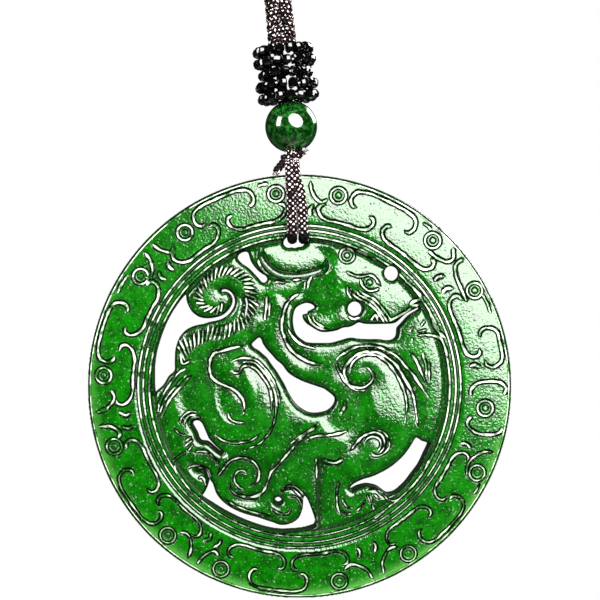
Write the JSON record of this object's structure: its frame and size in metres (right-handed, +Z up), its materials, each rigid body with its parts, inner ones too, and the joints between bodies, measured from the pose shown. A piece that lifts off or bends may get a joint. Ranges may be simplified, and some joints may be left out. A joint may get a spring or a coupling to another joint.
{
  "type": "jade pendant necklace",
  "caption": "Pierced round jade pendant carved with a coiled beast, hung on a doubled cord under a jade bead, seed beads and a braid, on a cord for the neck.",
  "frame": {"origin": "where the neck cord bears on the nape, on the cord's inner side", "axes": "+Z up, -Y forward: the pendant hangs in front with its carved face towards -Y, +X to the viewer's right"},
  "size_m": [0.1264, 0.137, 0.3012],
  "materials": {
    "jade": "polished bright green jade, faintly clouded, paler where the light grazes it",
    "bead_jade": "polished dark green jade",
    "seed_glass": "glossy black glass",
    "thin_cord": "fine braided polyester cord, dark brown with light flecks",
    "braided_cord": "plaited polyester cord, dark brown with light flecks"
  },
  "bodies": {
    "root": {"jade_disc": "jade", "left_strand": "thin_cord", "right_strand": "thin_cord", "strand_knot": "thin_cord", "jade_bead": "bead_jade", "bead_core": "thin_cord", "seed_bead_rows": "seed_glass", "braid": "braided_cord", "neck_cord": "braided_cord"}
  },
  "joints": []
}
